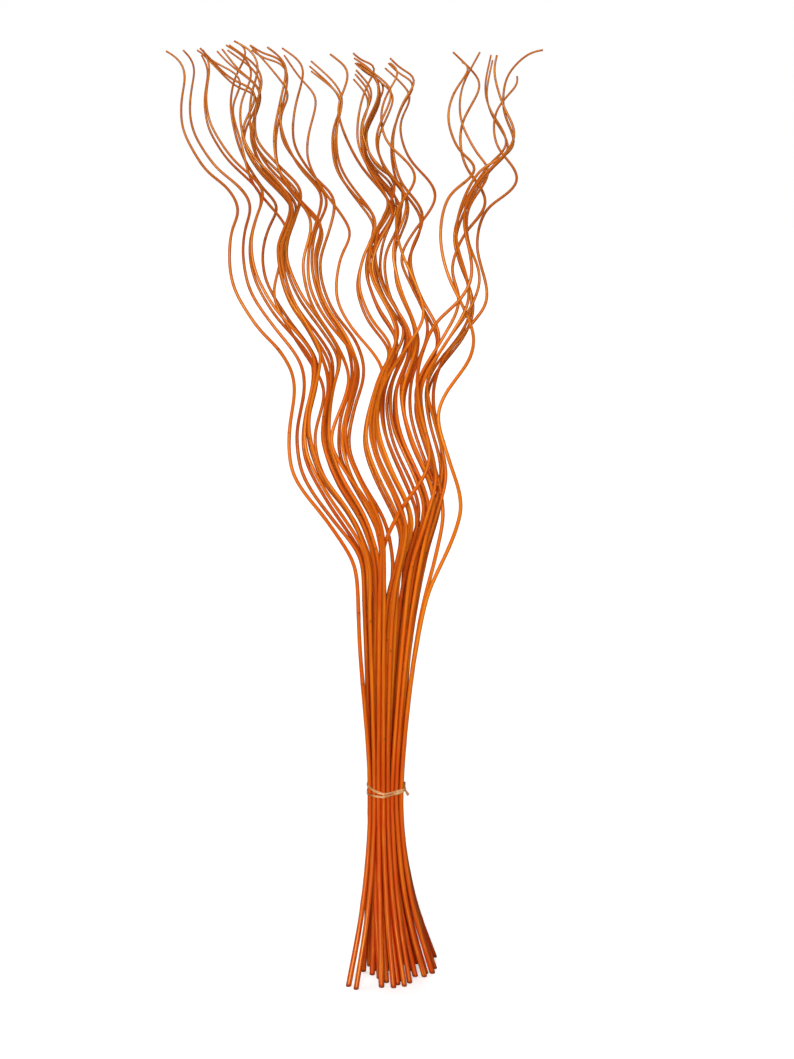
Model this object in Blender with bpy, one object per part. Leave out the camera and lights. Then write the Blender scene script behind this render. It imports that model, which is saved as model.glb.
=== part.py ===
"""A standing bundle of curly willow sticks, bound near the foot with twine.

Units are metres, +Z is up, and the origin is on the floor under the middle of the bundle's
bounding box. Each stick is a thin tapering rod that flares out below the twine to a foot on
the floor, runs straight for a third of its height and then curls from side to side.

The side-to-side shape of each stick is given by its bends, as points of the reference picture.
A point of the picture is a line of sight from EYE; how far back the stick lies on that line is
worked out here, from the stick's place in the tied bundle.
"""

import math

import bmesh
import bpy
import numpy as np

# Where the reference picture is seen from. PIXEL is the size of one of its pixels at AIM.
EYE = np.array((0.0, -2.10, 0.95))
AIM = np.array((0.0, 0.0, 0.562))
PIXEL = 0.0012
PICTURE_MIDDLE = (397.0, 529.5)

# The twine: its middle as the picture shows it, and the strand.
TIE_SEEN = (385.5, 788.5)
STRAND_RADIUS = 0.0006
STRAND_TURNS = 3
STRAND_STEPS = 28
STRAND_PITCH = 0.0016
STRAND_SAG = 0.0016
TAIL_UP = 0.011
TAIL_DOWN = 0.009
TAIL_OUT = 0.006
KNOT_SIZE = (0.0017, 0.0022, 0.0030)

# The sticks: diameter along the length, from the cut foot to the tip.
DIAMETER_AT = ((0.0, 0.0068), (0.1, 0.0063), (0.2, 0.0056), (0.4, 0.0046), (0.6, 0.0041), (0.85, 0.0032),
               (1.0, 0.0022))
DIAMETER_SPREAD = 0.04
STICK_SIDES_RESOLUTION = 1
CHORD_ERROR = 0.0014
GAP = 0.0004

# How the sticks pack where they are tied, and how they flare from there.
SLOT_PITCH = 0.0061
SORTED_AT_ROW = 600.0
FOOT_MIDDLE_SEEN = (399.0, 969.0)
FOOT_SPREAD = (2.2, 2.6)
FOOT_TURN = 0.6
FOOT_JITTER = 0.0048
FOOT_FLARE = 2.05
STRAY_FEET_SEEN = ((348.5, 986.0), (356.0, 989.0))
FAN_GROWTH = 6.2
FAN_POWER = 1.25
FAN_SPREAD = 0.12
DEPTH_WAVE = 0.012
DEPTH_WAVE_LENGTH = 0.205
DEPTH_WAVE_SPREAD = 0.9

# Colours, roughness.
STICK_COLOURS = ((0.70, 0.16, 0.012, 1.0), (0.62, 0.12, 0.008, 1.0), (0.76, 0.20, 0.016, 1.0))
TWINE_COLOUR = (0.62, 0.40, 0.17, 1.0)

# The bends of each stick in the picture, from its tip down to where the bundle closes.
LEFT_STICKS = (
    ((166, 51), (176, 57), (183, 66), (185, 76), (182, 96), (181, 112), (184, 132), (206, 170), (229, 190),
     (238.5, 210), (232, 230), (229.5, 262), (235, 290), (260, 330), (279, 350), (291, 370), (294.5, 390),
     (289.5, 430), (290, 460), (296, 480), (326, 520), (352, 560), (357, 580), (358.5, 610), (360, 650)),
    ((183, 50), (190, 57), (194.5, 67), (193, 80), (190, 102), (193, 130), (217, 168), (244, 192),
     (250.5, 206), (245, 230), (243, 252), (250, 290), (275, 328), (300, 362), (304.5, 385), (300, 410),
     (297, 435), (303, 475), (333, 520), (359, 555), (363, 575), (364, 600)),
    ((203, 50), (209, 61), (206, 90), (207, 108), (211, 125), (232, 158), (262, 188), (263, 198),
     (257, 215), (251.5, 240), (255, 270), (275, 308), (303, 340), (313, 355), (315, 372), (307, 410),
     (306, 450), (325, 490), (358, 540), (366, 560), (368, 600)),
    ((234, 41), (245, 47), (246, 54), (235, 78), (231, 97), (231, 111), (241, 152), (262, 187),
     (277.5, 207), (270, 225), (263, 250), (266, 280), (289, 320), (314, 355), (318, 372), (309, 415),
     (308, 434), (320, 475), (352, 520), (370, 565), (371, 600)),
    ((197, 50), (216, 63), (236, 74), (241, 81), (233, 105), (233, 115), (243, 150), (252, 182), (277, 214),
     (287, 229), (285, 243), (276, 280), (274, 297), (294, 337), (321, 380), (324, 396), (315, 437),
     (323, 475), (354, 520), (372, 568), (373, 600)),
    ((200, 48), (214, 62), (234, 81), (252, 89), (256, 95), (244, 124), (242, 138), (259, 168), (289, 200),
     (291, 209), (279, 240), (278, 255), (286, 292), (312, 335), (328, 378), (323, 425), (323, 442),
     (337, 480), (362, 522), (375, 568), (376, 600)),
    ((217, 51), (226, 61), (251, 81), (259, 89), (260, 97), (253, 128), (257, 157), (283, 190), (294, 213),
     (281, 248), (279, 265), (290, 303), (318, 342), (329, 362), (331, 380), (324, 424), (330, 463),
     (352, 502), (372, 546), (376, 570), (378, 600)),
    ((222, 49), (230, 60), (247, 78), (258, 87), (261, 97), (252, 125), (251, 140), (264, 170), (293, 199),
     (297, 208), (285, 246), (283, 264), (294, 302), (320, 338), (331, 356), (333, 374), (326, 418),
     (331, 456), (352, 494), (372, 538), (376, 562), (377, 600)),
    ((226, 45), (244, 57), (252, 73), (243, 97), (240, 112), (247, 147), (278, 182), (293, 207), (284, 238),
     (281, 256), (292, 297), (313, 335), (320, 350), (320, 365), (311, 405), (309, 430), (322, 473),
     (352, 517), (369, 565), (369.5, 600)),
    ((229, 45), (246, 58), (257, 67), (262, 79), (256, 108), (257, 140), (281, 168), (301, 191), (295, 218),
     (286, 252), (300, 292), (325, 328), (340, 355), (333, 390), (329, 435), (340, 473), (363, 513),
     (378, 560), (379, 600)),
    ((236, 42), (250, 50), (257, 60), (258, 70), (251, 97), (251, 132), (267, 165), (294, 194), (310, 217),
     (311, 228), (303, 262), (311, 303), (334, 340), (349, 378), (340, 411), (331, 441), (345, 471),
     (367, 502), (380, 535), (381, 575), (380, 600)),
    ((250, 45), (259, 55), (284, 85), (288.5, 95), (281, 115), (283, 141), (303, 169), (327, 200),
     (316, 230), (312, 268), (325, 310), (347, 345), (352, 380), (341, 417), (340, 455), (357, 492),
     (377, 530), (381, 552), (381, 600)),
    ((250, 45), (262, 53), (278, 58), (286, 68), (281, 97), (274, 139), (279, 170), (301, 201), (321, 225),
     (315, 254), (322, 297), (345, 334), (357, 366), (349, 404), (342, 440), (352, 478), (373, 518),
     (382, 562), (382, 600)),
    ((267, 47), (280, 57), (287, 69), (281, 98), (281, 127), (296, 162), (319, 189), (322, 199), (309, 250),
     (310, 287), (328, 322), (353, 354), (356, 370), (348, 408), (346, 445), (362, 485), (381, 525),
     (384, 560), (384, 600)),
    ((282, 48), (300, 62), (303.5, 71), (295, 108), (294, 143), (312, 174), (334, 199), (330, 228),
     (320, 264), (330, 305), (356, 342), (364, 372), (354, 410), (349, 447), (364, 485), (386, 525),
     (392.5, 562), (391, 600)),
    ((284, 55), (300, 78), (316, 98), (311, 122), (307, 155), (318, 182), (346, 222), (350.5, 234),
     (340, 260), (337, 298), (352, 328), (378, 360), (383, 374), (375, 412), (376, 450), (393, 488),
     (405, 522), (402, 545), (394, 600)),
)
CENTRE_STICKS = (
    ((311, 71), (325, 82), (341, 99), (333, 131), (336, 168), (356, 197), (374, 216), (371, 247),
     (380, 277), (404, 331), (390, 365), (376, 400), (372, 438), (386, 477), (405, 532), (401, 552),
     (390, 600)),
    ((311, 61), (327, 75), (342, 96), (336.5, 131), (340, 166), (362, 200), (376, 222), (365, 252),
     (359, 285), (372, 320), (391, 348), (378, 380), (366, 437), (377, 474), (402, 530), (399, 553),
     (388, 600)),
    ((330, 54), (342, 64), (348, 71), (341, 97), (338, 112), (356, 158), (393, 212), (380, 240), (372, 268),
     (383, 297), (398, 330), (389, 362), (378, 410), (378, 440), (394, 480), (410, 517), (402, 556),
     (392, 600)),
    ((353, 53), (362, 61), (376, 66), (366, 88), (359, 113), (359, 148), (385, 194), (389, 203), (371, 243),
     (371, 275), (397, 334), (382, 372), (370, 430), (381, 470), (406, 524), (404, 545), (394, 600)),
    ((354, 58), (371, 70), (379, 92), (364, 130), (366, 163), (393, 200), (373, 240), (366, 270),
     (377, 305), (396, 340), (383, 385), (383, 425), (396, 462), (417, 517), (408, 560), (400.5, 600)),
    ((355, 63), (366, 73), (384, 85), (370, 118), (365, 150), (380, 178), (397, 200), (383, 243),
     (381, 277), (406, 332), (404, 348), (387, 400), (392, 438), (419, 510), (405, 560), (402, 600)),
    ((356, 70), (372, 92), (362, 122), (364, 156), (401, 210), (385, 258), (389, 293), (408, 338),
     (391, 388), (393, 425), (417, 483), (424, 508), (411, 562), (406, 600)),
    ((355, 74), (370, 95), (362, 130), (373, 159), (395, 184), (380, 225), (375, 257), (386, 293),
     (411, 338), (396, 393), (400, 431), (429, 508), (419, 545), (409, 600)),
    ((357, 63), (374, 74), (380, 95), (366, 135), (374, 163), (402, 187), (396, 232), (397, 285),
     (415, 333), (401, 387), (411, 442), (433, 498), (423, 540), (413, 600)),
    ((360, 63), (383, 81), (392, 91), (376, 138), (383, 164), (407, 200), (393, 250), (402, 293),
     (417, 336), (402, 398), (411, 437), (434, 498), (426, 535), (414.5, 600), (407.5, 645)),
    ((390, 63), (399, 71), (388, 92), (381, 114), (386, 140), (416, 176), (398, 208), (398, 240),
     (424, 314), (410, 342), (381, 391), (378, 428), (391, 468), (412, 520), (400, 570), (397, 600)),
    ((390, 58), (400, 68), (415.5, 79), (403, 103), (393, 138), (399, 178), (423, 215), (410, 258),
     (421, 297), (439.5, 336), (428, 366), (417, 402), (427, 440), (436, 480), (428, 512), (414, 560),
     (410, 600)),
    ((385, 68), (403, 85), (410.5, 96), (400, 126), (408, 156), (436, 195), (413, 233), (401, 258),
     (411, 285), (428, 328), (412, 378), (411, 417), (430, 473), (440, 500), (430, 540), (416.5, 600),
     (409, 645), (405, 690)),
)
RIGHT_STICKS = (
    ((462, 62), (470, 66), (456, 88), (448, 118), (459, 150), (476, 169), (448, 198), (440.5, 235),
     (447, 272), (467, 315), (474, 340), (468, 362), (446, 393), (438, 416), (449, 460), (461, 505),
     (450, 545), (427, 597), (420, 635), (412, 675), (406, 730)),
    ((480, 52), (462, 88), (461, 120), (477, 153), (489, 171), (468, 210), (468, 240), (480, 278),
     (468, 312), (441, 350), (427, 383), (434, 420), (446, 475), (437, 513), (422, 562), (416, 600)),
    ((453, 52), (478, 78), (480.5, 85), (461, 128), (464, 162), (486, 202), (463, 237), (452, 268),
     (459, 303), (443, 337), (417, 385), (419, 420), (437, 475), (443, 515), (437, 550), (424, 600),
     (418, 635), (411, 680)),
    ((491, 55), (485, 90), (489, 107), (507, 144), (489, 165), (463, 206), (454, 240), (472, 301),
     (463, 330), (428, 380), (428, 415), (441, 470), (434, 507), (419, 556), (413, 600)),
    ((497, 55), (494, 70), (503, 105), (515, 133), (511, 146), (476, 185), (464, 215), (472, 275),
     (462, 297), (436, 323), (418, 370), (420, 410), (430, 456), (424, 476), (402, 508), (386, 540),
     (382, 556), (380, 600)),
    ((543, 50), (530, 53), (507, 77), (504, 112), (514, 146), (478, 173), (456, 231), (469, 298),
     (452, 333), (422, 385), (424, 422), (436, 478), (427, 516), (412, 565), (407, 600)),
    ((517, 76), (519, 81), (496, 112), (496, 143), (518, 180), (485, 212), (477, 245), (487, 300),
     (468, 328), (442, 362), (433, 395), (443, 465), (435, 506), (421, 555), (414, 600)),
)

# Sticks hardly seen in the picture: each stands behind a seen one and follows it this closely.
FOLLOWED = ("left_stick_03", "left_stick_06", "left_stick_10", "left_stick_13", "centre_stick_02",
            "centre_stick_05", "centre_stick_08", "centre_stick_10", "centre_stick_12", "right_stick_04")
FOLLOWS_BY = (1.6, 5.0)

# Sticks that cross in front of the rest, and how far in front at their mid-height.
FRONT_STEP = 0.020
IN_FRONT = ("left_stick_01", "left_stick_09", "left_stick_14", "centre_stick_04", "centre_stick_11",
            "right_stick_05", "right_stick_01")


def sight_direction(seen):
    """The line of sight from EYE through a point of the picture, reaching the plane through AIM."""
    forward = AIM - EYE
    right = np.array((1.0, 0.0, 0.0))
    up = np.cross(right, forward / np.linalg.norm(forward))
    across = (seen[0] - PICTURE_MIDDLE[0]) * PIXEL
    above = (PICTURE_MIDDLE[1] - seen[1]) * PIXEL
    return forward + right * across + up * above


def seen_at_depth(seen, depth):
    """The point that far back (+Y) on the line of sight."""
    direction = sight_direction(seen)
    return EYE + direction * (depth - EYE[1]) / direction[1]


def seen_on_floor(seen):
    """Where the line of sight meets the floor."""
    direction = sight_direction(seen)
    return EYE - direction * EYE[2] / direction[2]


def all_bends():
    """Every stick's name and bends."""
    named = {}
    for side, sticks in (("left", LEFT_STICKS), ("centre", CENTRE_STICKS), ("right", RIGHT_STICKS)):
        for k, bends in enumerate(sticks):
            named[f"{side}_stick_{k + 1:02d}"] = np.array(bends, float)
    for k, leader in enumerate(FOLLOWED):
        side = 1 if k % 2 else -1
        named[f"back_stick_{k + 1:02d}"] = named[leader] + np.array(FOLLOWS_BY) * (side, 1)
    return list(named.items())


def packed_slots(count):
    """Places for the sticks where they are tied: close-packed columns, the nearest to the middle."""
    column_step = SLOT_PITCH * math.sqrt(3) / 2
    places = []
    for column in range(-6, 6):
        for row in range(-6, 7):
            x = (column + 0.5) * column_step
            y = (row + 0.5 * (column % 2)) * SLOT_PITCH
            places.append((x, y))
    places.sort(key=lambda p: (round(math.hypot(*p), 5), p))
    return sorted(places[:count])


def row_crossing(bends):
    """Where a stick crosses the row of the picture that the bundle is sorted at."""
    return float(np.interp(SORTED_AT_ROW, bends[:, 1], bends[:, 0]))


def give_slots(named):
    """Each stick's slot: columns in the order of the sticks from left to right above the twine."""
    order = sorted(range(len(named)), key=lambda i: (row_crossing(named[i][1]), i))
    slots = packed_slots(len(named))
    given = {}
    start = 0
    while start < len(slots):
        column = [s for s in slots if abs(s[0] - slots[start][0]) < 1e-6]
        members = order[start:start + len(column)]
        members.sort(key=lambda i: depth_wish(i, named[i][0]))
        for member, slot in zip(members, column):
            given[member] = np.array(slot)
        start += len(column)
    return given


def depth_wish(number, name):
    """Where a stick would go in its column: the lowest in front."""
    if name in IN_FRONT:
        return -1.0
    return (number * 0.618034) % 1.0 + (1.0 if name.startswith("back") else 0.0)


def smooth_curve(points, steps=10):
    """Points along a centripetal Catmull-Rom curve through the given ones."""
    ends = np.vstack((2 * points[0] - points[1], points, 2 * points[-1] - points[-2]))
    made = []
    for p0, p1, p2, p3 in zip(ends, ends[1:], ends[2:], ends[3:]):
        t1 = np.linalg.norm(p1 - p0) ** 0.5
        t2 = t1 + np.linalg.norm(p2 - p1) ** 0.5
        t3 = t2 + np.linalg.norm(p3 - p2) ** 0.5
        for t in np.linspace(t1, t2, steps, endpoint=False):
            a1 = (t1 - t) / t1 * p0 + t / t1 * p1
            a2 = (t2 - t) / (t2 - t1) * p1 + (t - t1) / (t2 - t1) * p2
            a3 = (t3 - t) / (t3 - t2) * p2 + (t - t2) / (t3 - t2) * p3
            b1 = (t2 - t) / t2 * a1 + t / t2 * a2
            b2 = (t3 - t) / (t3 - t1) * a2 + (t - t1) / (t3 - t1) * a3
            made.append((t2 - t) / (t2 - t1) * b1 + (t - t1) / (t2 - t1) * b2)
    made.append(points[-1])
    return np.array(made)


def thinned(points, error):
    """The fewest of the points whose chords stay within the error of all of them."""
    chord = points[-1] - points[0]
    along = np.clip((points - points[0]) @ chord / max(chord @ chord, 1e-12), 0, 1)
    away = np.linalg.norm(points - points[0] - along[:, None] * chord, axis=1)
    worst = int(away.argmax())
    if away[worst] <= error or len(points) < 3:
        return points[[0, -1]]
    first = thinned(points[:worst + 1], error)
    return np.vstack((first[:-1], thinned(points[worst:], error)))


def stick_path(bends, slot, foot, number, ahead):
    """The middle line of one stick, from its foot to its tip, bowed towards the viewer by ahead."""
    spread = 1 + FAN_SPREAD * math.sin(4.1 * number)
    phase = DEPTH_WAVE_SPREAD * math.sin(1.7 * number)
    tie = seen_at_depth(TIE_SEEN, 0.0)
    tie = tie + np.array((slot[0], slot[1], 0.0))
    top = seen_at_depth((TIE_SEEN[0], 50.0), 0.0)[2]
    low = []
    for share in (0.0, 0.35, 0.7):
        height = tie[2] * share
        flare = (1 - share) ** FOOT_FLARE
        low.append((tie[0] + (foot[0] - tie[0]) * flare, tie[1] + (foot[1] - tie[1]) * flare, height))
    high = []
    for seen in bends[::-1]:
        height = seen_at_depth(seen, 0.0)[2]
        climb = (height - tie[2]) / (top - tie[2])
        fan = 1 + FAN_GROWTH * spread * climb ** FAN_POWER
        turn = 2 * math.pi * (height - tie[2]) / DEPTH_WAVE_LENGTH
        wave = DEPTH_WAVE * min(1.0, 2.0 * climb) * climb * math.sin(turn + phase)
        bow = ahead * math.sin(math.pi * min(climb, 1.0))
        high.append(seen_at_depth(seen, slot[1] * fan + wave - bow))
    return smooth_curve(np.array([*low, tie, *high]))


def diameters(path, scale):
    """The diameter at each point of a path."""
    steps = np.linalg.norm(np.diff(path, axis=0), axis=1)
    share = np.concatenate(([0.0], np.cumsum(steps))) / steps.sum()
    return np.interp(share, *zip(*DIAMETER_AT)) * scale


def nearest_on_segments(p, q, r, s):
    """How far along segments p-q and r-s their nearest points are, and the step between them."""
    u, v, w = q - p, s - r, p - r
    a, b, c = (u * u).sum(1), (u * v).sum(1), (v * v).sum(1)
    d, e = (u * w).sum(1), (v * w).sum(1)
    slack = np.maximum(a * c - b * b, 1e-16)
    along = np.clip((b * e - c * d) / slack, 0, 1)
    across = np.clip((b * along + e) / c, 0, 1)
    along = np.clip((b * across - d) / a, 0, 1)
    return along, across, p + along[:, None] * u - r - across[:, None] * v


def near_pairs(starts, ends, owner, reach):
    """Pairs of segments of different sticks whose boxes come within reach of each other."""
    low = np.minimum(starts, ends) - reach
    high = np.maximum(starts, ends)
    first, second = np.triu_indices(len(starts), 1)
    near = owner[first] != owner[second]
    for axis in range(3):
        near &= (low[first, axis] < high[second, axis]) & (low[second, axis] < high[first, axis])
    return first[near], second[near]


def eased_apart(paths, sizes, rank):
    """The paths moved until the sticks clear each other: front to back above, any way level near the tie."""
    owner = np.concatenate([[i] * len(p) for i, p in enumerate(paths)])
    points = np.vstack(paths)
    radius = np.concatenate(sizes) / 2
    begin = np.flatnonzero(owner[:-1] == owner[1:])
    tie = seen_at_depth(TIE_SEEN, 0.0)
    for round_number in range(400):
        if round_number % 10 == 0:
            pairs = near_pairs(points[begin], points[begin + 1], owner[begin], 0.009)
        one, two = begin[pairs[0]], begin[pairs[1]]
        along, across, step = nearest_on_segments(points[one], points[one + 1], points[two], points[two + 1])
        wide_one = radius[one] * (1 - along) + radius[one + 1] * along
        wide_two = radius[two] * (1 - across) + radius[two + 1] * across
        want = wide_one + wide_two + GAP
        distance = np.linalg.norm(step, axis=1)
        close = distance < want
        if not close.any():
            break
        one, two, along, across = one[close], two[close], along[close], across[close]
        step, want, distance = step[close], want[close], distance[close]
        front = np.where(np.abs(step[:, 1]) > 0.25 * want, np.sign(step[:, 1]),
                         np.sign(rank[owner[one]] - rank[owner[two]]))
        flat = np.hypot(step[:, 0], step[:, 2])
        depth_move = front * np.sqrt(np.maximum(want**2 - flat**2, 0)) - step[:, 1]
        level = step * np.array((1, 1, 0))
        level /= np.maximum(np.linalg.norm(level, axis=1), 1e-9)[:, None]
        level_move = level * (want - distance)[:, None]
        height = points[one, 2]
        upper = np.clip((height - tie[2] - 0.10) / 0.10, 0, 1)[:, None]
        move = upper * depth_move[:, None] * np.array((0, 1, 0)) + (1 - upper) * level_move
        moves = np.zeros_like(points)
        hits = np.zeros(len(points))
        for index, sign, share in ((one, 1, 1 - along), (one + 1, 1, along),
                                   (two, -1, 1 - across), (two + 1, -1, across)):
            np.add.at(moves, index, sign * 0.5 * move * share[:, None])
            np.add.at(hits, index, share)
        points = points + moves / np.maximum(hits, 1)[:, None] * 1.1
    return [points[owner == i] for i in range(len(paths))]


def tube(name, path, radii, material, collection):
    """A round closed rod along a path, as a mesh."""
    curve = bpy.data.curves.new(name, "CURVE")
    curve.dimensions = "3D"
    curve.bevel_depth = 1.0
    curve.bevel_resolution = STICK_SIDES_RESOLUTION
    curve.use_fill_caps = True
    spline = curve.splines.new("POLY")
    spline.points.add(len(path) - 1)
    for point, place, radius in zip(spline.points, path, radii):
        point.co = (*place, 1.0)
        point.radius = radius
    guide = bpy.data.objects.new(name + "_guide", curve)
    collection.objects.link(guide)
    evaluated = guide.evaluated_get(bpy.context.evaluated_depsgraph_get())
    mesh = bpy.data.meshes.new_from_object(evaluated)
    mesh.name = name
    bpy.data.objects.remove(guide)
    built = bmesh.new()
    built.from_mesh(mesh)
    bmesh.ops.remove_doubles(built, verts=built.verts, dist=1e-6)
    bmesh.ops.recalc_face_normals(built, faces=built.faces)
    built.to_mesh(mesh)
    built.free()
    mesh.materials.clear()
    mesh.materials.append(material)
    mesh.shade_smooth()
    obj = bpy.data.objects.new(name, mesh)
    collection.objects.link(obj)
    return obj


def cut_level(obj, path, radius):
    """The foot's ring slid along the stick onto the floor, as a cut that lets it stand flat."""
    direction = path[1] - path[0]
    direction = direction / np.linalg.norm(direction)
    for vertex in obj.data.vertices:
        offset = np.array(vertex.co) - path[0]
        if abs(offset @ direction) < 1e-5 and np.linalg.norm(offset) < 1.01 * radius + 1e-6:
            vertex.co = np.array(vertex.co) - direction * vertex.co.z / direction[2]


def finish(name, colour, roughness):
    """A plain surface."""
    material = bpy.data.materials.new(name)
    material.use_nodes = True
    shader = material.node_tree.nodes["Principled BSDF"]
    shader.inputs["Base Color"].default_value = colour
    shader.inputs["Roughness"].default_value = roughness
    return material


def hull_reach(paths, radii, height, angles):
    """How far the bundle reaches from its middle in each direction at a height, and that middle."""
    centres, widths = [], []
    for path, radius in zip(paths, radii):
        centres.append([np.interp(height, path[:, 2], path[:, axis]) for axis in (0, 1)])
        widths.append(np.interp(height, path[:, 2], radius))
    centres, widths = np.array(centres), np.array(widths)
    middle = (centres.min(0) + centres.max(0)) / 2
    normals = np.stack((np.cos(angles), np.sin(angles)), 1)
    reach = ((centres - middle) @ normals.T + widths[:, None]).max(0)
    return middle, reach


def twine_path(paths, radii):
    """The strand: a tail, turns drawn tight round the bundle, and a second tail. Also the knot's place."""
    tie_height = seen_at_depth(TIE_SEEN, 0.0)[2]
    angles = np.linspace(0, 2 * math.pi, STRAND_STEPS, endpoint=False)
    middle, reach = hull_reach(paths, radii, tie_height, angles)
    reach = reach + STRAND_RADIUS + GAP
    slope = np.gradient(np.concatenate((reach[-1:], reach, reach[:1])), angles[1])[1:-1]
    across = reach * np.cos(angles) - slope * np.sin(angles)
    back = reach * np.sin(angles) + slope * np.cos(angles)
    points = []
    for k in range(STRAND_TURNS * STRAND_STEPS + 1):
        step = k % STRAND_STEPS
        rise = (k / STRAND_STEPS - STRAND_TURNS / 2) * STRAND_PITCH
        sag = STRAND_SAG * math.sin(angles[step])
        points.append((middle[0] + across[step], middle[1] + back[step], tie_height + rise + sag))
    points = np.array(points)
    first, last = points[0], points[-1]
    knot = (first + last) / 2 + np.array((0.75 * KNOT_SIZE[0], 0.0, 0.0))
    low_tail = [knot + np.array((0.5 * TAIL_OUT, -0.2 * TAIL_OUT, -0.5 * TAIL_DOWN)),
                knot + np.array((TAIL_OUT, -0.3 * TAIL_OUT, -TAIL_DOWN))]
    high_tail = [knot + np.array((0.0, 0.0, 0.35 * TAIL_UP)),
                 knot + np.array((-0.1 * TAIL_OUT, 0.1 * TAIL_OUT, TAIL_UP))]
    return np.vstack((low_tail[::-1], knot, points, knot, high_tail)), knot


def twine_wrap(strand, knot, material, collection):
    """The twine as one body: the strand joined to the bead of its knot."""
    wrap = tube("twine_wrap", strand, [STRAND_RADIUS] * len(strand), material, collection)
    bead = bmesh.new()
    bmesh.ops.create_icosphere(bead, subdivisions=2, radius=1.0)
    for vertex in bead.verts:
        vertex.co = np.array(vertex.co) * KNOT_SIZE + knot
    mesh = bpy.data.meshes.new("knot")
    bead.to_mesh(mesh)
    bead.free()
    knot_bead = bpy.data.objects.new("knot", mesh)
    collection.objects.link(knot_bead)
    union = wrap.modifiers.new("knot", "BOOLEAN")
    union.operation = "UNION"
    union.solver = "EXACT"
    union.use_self = True
    union.object = knot_bead
    evaluated = wrap.evaluated_get(bpy.context.evaluated_depsgraph_get())
    joined = bpy.data.meshes.new_from_object(evaluated)
    wrap.modifiers.clear()
    wrap.data = joined
    bpy.data.objects.remove(knot_bead)


def make_sticks(collection):
    """Every stick, and the paths and radii they follow."""
    named = all_bends()
    slots = give_slots(named)
    middle = seen_on_floor(FOOT_MIDDLE_SEEN)
    stray = sorted(slots, key=lambda i: slots[i][0] + 0.5 * slots[i][1])[:len(STRAY_FEET_SEEN)]
    paths, sizes = [], []
    for i, (name, bends) in enumerate(named):
        x, y = slots[i]
        shuffle = FOOT_JITTER * np.array((math.sin(5.3 * i), math.sin(7.9 * i), 0.0))
        foot = middle + np.array((x * FOOT_SPREAD[0], y * FOOT_SPREAD[1] + x * FOOT_TURN, 0.0)) + shuffle
        if i in stray:
            foot = seen_on_floor(STRAY_FEET_SEEN[stray.index(i)])
        path = stick_path(bends, slots[i], foot, i, FRONT_STEP if name in IN_FRONT else 0.0)
        path = thinned(path, CHORD_ERROR)
        paths.append(path)
        sizes.append(diameters(path, 1 + DIAMETER_SPREAD * math.sin(2.9 * i)))
    rank = np.array([slots[i][1] + 1e-4 * math.sin(12.9 * i) for i in range(len(named))])
    paths = eased_apart(paths, sizes, rank)
    return named, paths, [size / 2 for size in sizes]


def main():
    for obj in list(bpy.data.objects):
        bpy.data.objects.remove(obj)
    collection = bpy.data.collections.new("curly_willow_bundle")
    bpy.context.scene.collection.children.link(collection)
    colours = [finish(f"dyed_willow_{k}", colour, 0.5) for k, colour in enumerate(STICK_COLOURS)]
    twine_finish = finish("twine", TWINE_COLOUR, 0.4)
    named, paths, radii = make_sticks(collection)
    twine, knot = twine_path(paths, radii)
    every = np.vstack([*paths, twine])
    shift = np.append(-(every.min(0) + every.max(0))[:2] / 2, 0.0)
    for i, (name, _) in enumerate(named):
        path = paths[i] + shift
        stick = tube(name, path, radii[i], colours[i % len(colours)], collection)
        cut_level(stick, path, radii[i][0])
    twine_wrap(twine + shift, knot + shift, twine_finish, collection)


main()
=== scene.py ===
"""A standing bundle of dyed curly willow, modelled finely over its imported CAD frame.

Each stick is rebuilt as a smooth tapering rod along the middle line of its CAD node, with bud
scars, slight swellings and a cut at both ends. The twine becomes two crossing turns of flat raffia
with a knot and two tails.
"""

import math

import bpy
import numpy as np
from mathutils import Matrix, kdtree


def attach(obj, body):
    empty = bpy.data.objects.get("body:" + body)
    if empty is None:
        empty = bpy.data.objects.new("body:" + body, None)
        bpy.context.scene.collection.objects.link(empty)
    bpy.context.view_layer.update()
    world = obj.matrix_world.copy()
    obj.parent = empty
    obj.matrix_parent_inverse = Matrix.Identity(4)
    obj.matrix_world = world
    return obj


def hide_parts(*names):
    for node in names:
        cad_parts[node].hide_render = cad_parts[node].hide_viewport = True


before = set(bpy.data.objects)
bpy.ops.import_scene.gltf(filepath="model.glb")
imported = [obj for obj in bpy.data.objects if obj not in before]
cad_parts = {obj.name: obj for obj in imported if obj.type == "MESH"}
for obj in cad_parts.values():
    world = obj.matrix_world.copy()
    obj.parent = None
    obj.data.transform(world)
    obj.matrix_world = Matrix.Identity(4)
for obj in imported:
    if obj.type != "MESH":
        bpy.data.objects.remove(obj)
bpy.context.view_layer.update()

# The camera, and how far the part's origin lies from the point it looks over.
EYE = np.array((0.0, -2.10, 0.95))
AIM = np.array((0.0, 0.0, 0.562))
PIXEL = 0.0012
PICTURE_SIZE = (794, 1059)
BUNDLE_SHIFT = np.array((0.05115, -0.00624, 0.0))

# A stick's rings and its skin. Each swell wave is its length, and its height as a share of the radius.
SIDES = 14
RING_SPACING = 0.0042
END_RING = 0.004
FOOT_RING = 0.0012
FOOT_CHAMFER = 0.0005
FOOT_RINGS = 8
TIP_CHAMFER = 0.0003
TIP_NARROWING = 0.00045
LINE_STEPS = 12
SMOOTHING_ROUNDS = 4
SMOOTHING = 0.25
SWELL_WAVES = ((0.11, 0.016), (0.047, 0.012), (0.023, 0.008))
OVAL = 0.018
RANDOM_SEEDS = 1000
PATTERN_STEP = 7.3

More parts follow.
